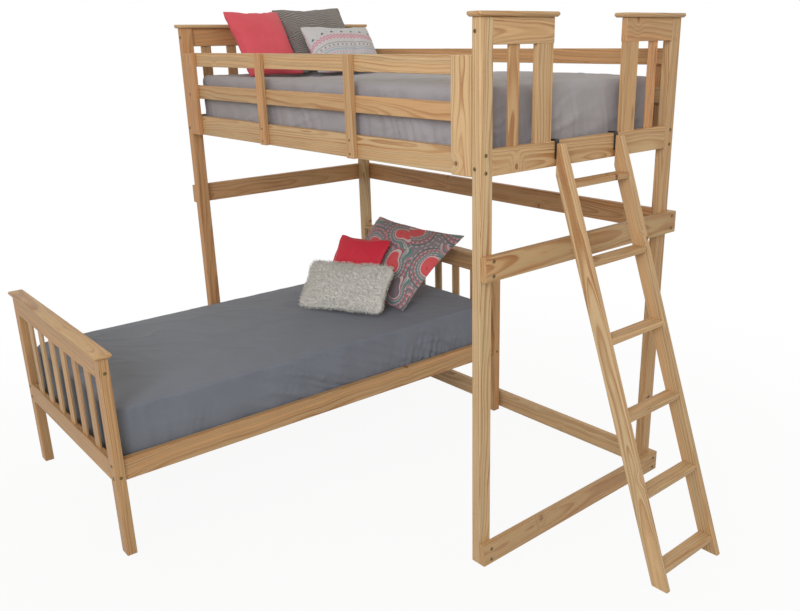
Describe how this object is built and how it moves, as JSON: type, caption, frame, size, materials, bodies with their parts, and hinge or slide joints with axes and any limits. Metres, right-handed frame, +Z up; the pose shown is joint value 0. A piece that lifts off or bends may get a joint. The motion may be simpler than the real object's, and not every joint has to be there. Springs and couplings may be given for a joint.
{
  "type": "loft bed",
  "caption": "Pine loft bed with a leaning hook-on ladder and guard rails, a freestanding twin bed set crosswise beneath it, both with sheeted mattresses and throw pillows",
  "frame": {"origin": "the middle of the whole footprint, on the floor", "axes": "+X runs from the loft's head to its ladder, +Y from its front to its back, +Z up"},
  "size_m": [2.593, 2.0286, 1.9909],
  "materials": {
    "pine": "clear satin",
    "sheet": "matte woven",
    "black_steel": "black satin",
    "pillow_coral": "matte woven",
    "pillow_grey": "matte knit",
    "pillow_print": "matte printed",
    "pillow_paisley": "matte printed",
    "pillow_red": "matte woven",
    "pillow_fur": "long white pile"
  },
  "bodies": {
    "loft": {"loft_post_head_front": "pine", "loft_post_head_back": "pine", "loft_post_ladder_front": "pine", "loft_post_ladder_back": "pine", "loft_side_rail_front": "pine", "loft_side_rail_back": "pine", "loft_slat_roll": "pine", "loft_mattress": "sheet", "loft_head_panel": "pine", "loft_head_cap": "pine", "loft_ladder_end_panel": "pine", "loft_ladder_end_cap_front": "pine", "loft_ladder_end_cap_back": "pine", "loft_guard_front_mid_rail": "pine", "loft_guard_front_top_rail": "pine", "loft_guard_front_upright_head_end": "pine", "loft_guard_front_upright_head": "pine", "loft_guard_front_upright_foot": "pine", "loft_guard_front_upright_ladder_end": "pine", "loft_guard_back_mid_rail": "pine", "loft_guard_back_top_rail": "pine", "loft_guard_back_upright_head_end": "pine", "loft_guard_back_upright_head": "pine", "loft_guard_back_upright_foot": "pine", "loft_guard_back_upright_ladder_end": "pine", "loft_stretcher_mid_head": "pine", "loft_stretcher_mid_ladder": "pine", "loft_stretcher_mid_back": "pine", "loft_stretcher_low_head": "pine", "loft_stretcher_low_ladder": "pine", "loft_stretcher_low_back": "pine", "pillow_coral": "pillow_coral", "pillow_grey": "pillow_grey", "pillow_print": "pillow_print"},
    "ladder": {"ladder_stile_front": "pine", "ladder_stile_back": "pine", "ladder_rung_1": "pine", "ladder_rung_2": "pine", "ladder_rung_3": "pine", "ladder_rung_4": "pine", "ladder_rung_5": "pine", "ladder_rung_6": "pine", "ladder_hook_front": "black_steel", "ladder_hook_back": "black_steel"},
    "lower_bed": {"lower_post_head_left": "pine", "lower_post_head_right": "pine", "lower_post_foot_left": "pine", "lower_post_foot_right": "pine", "lower_side_rail_left": "pine", "lower_side_rail_right": "pine", "lower_slat_roll": "pine", "lower_mattress": "sheet", "lower_head_panel": "pine", "lower_head_cap": "pine", "lower_foot_panel": "pine", "lower_foot_cap": "pine", "pillow_paisley": "pillow_paisley", "pillow_red": "pillow_red", "pillow_fur": "pillow_fur"}
  },
  "joints": [
    {"name": "ladder_lift_off", "type": "slide", "parent": "loft", "child": "ladder", "axis": [0, 0, 1], "range_m": [0, 0.045]},
    {"name": "lower_bed_pull_out", "type": "slide", "parent": "loft", "child": "lower_bed", "axis": [-0.0237, -0.9997, 0], "range_m": [0, 0.85]}
  ]
}
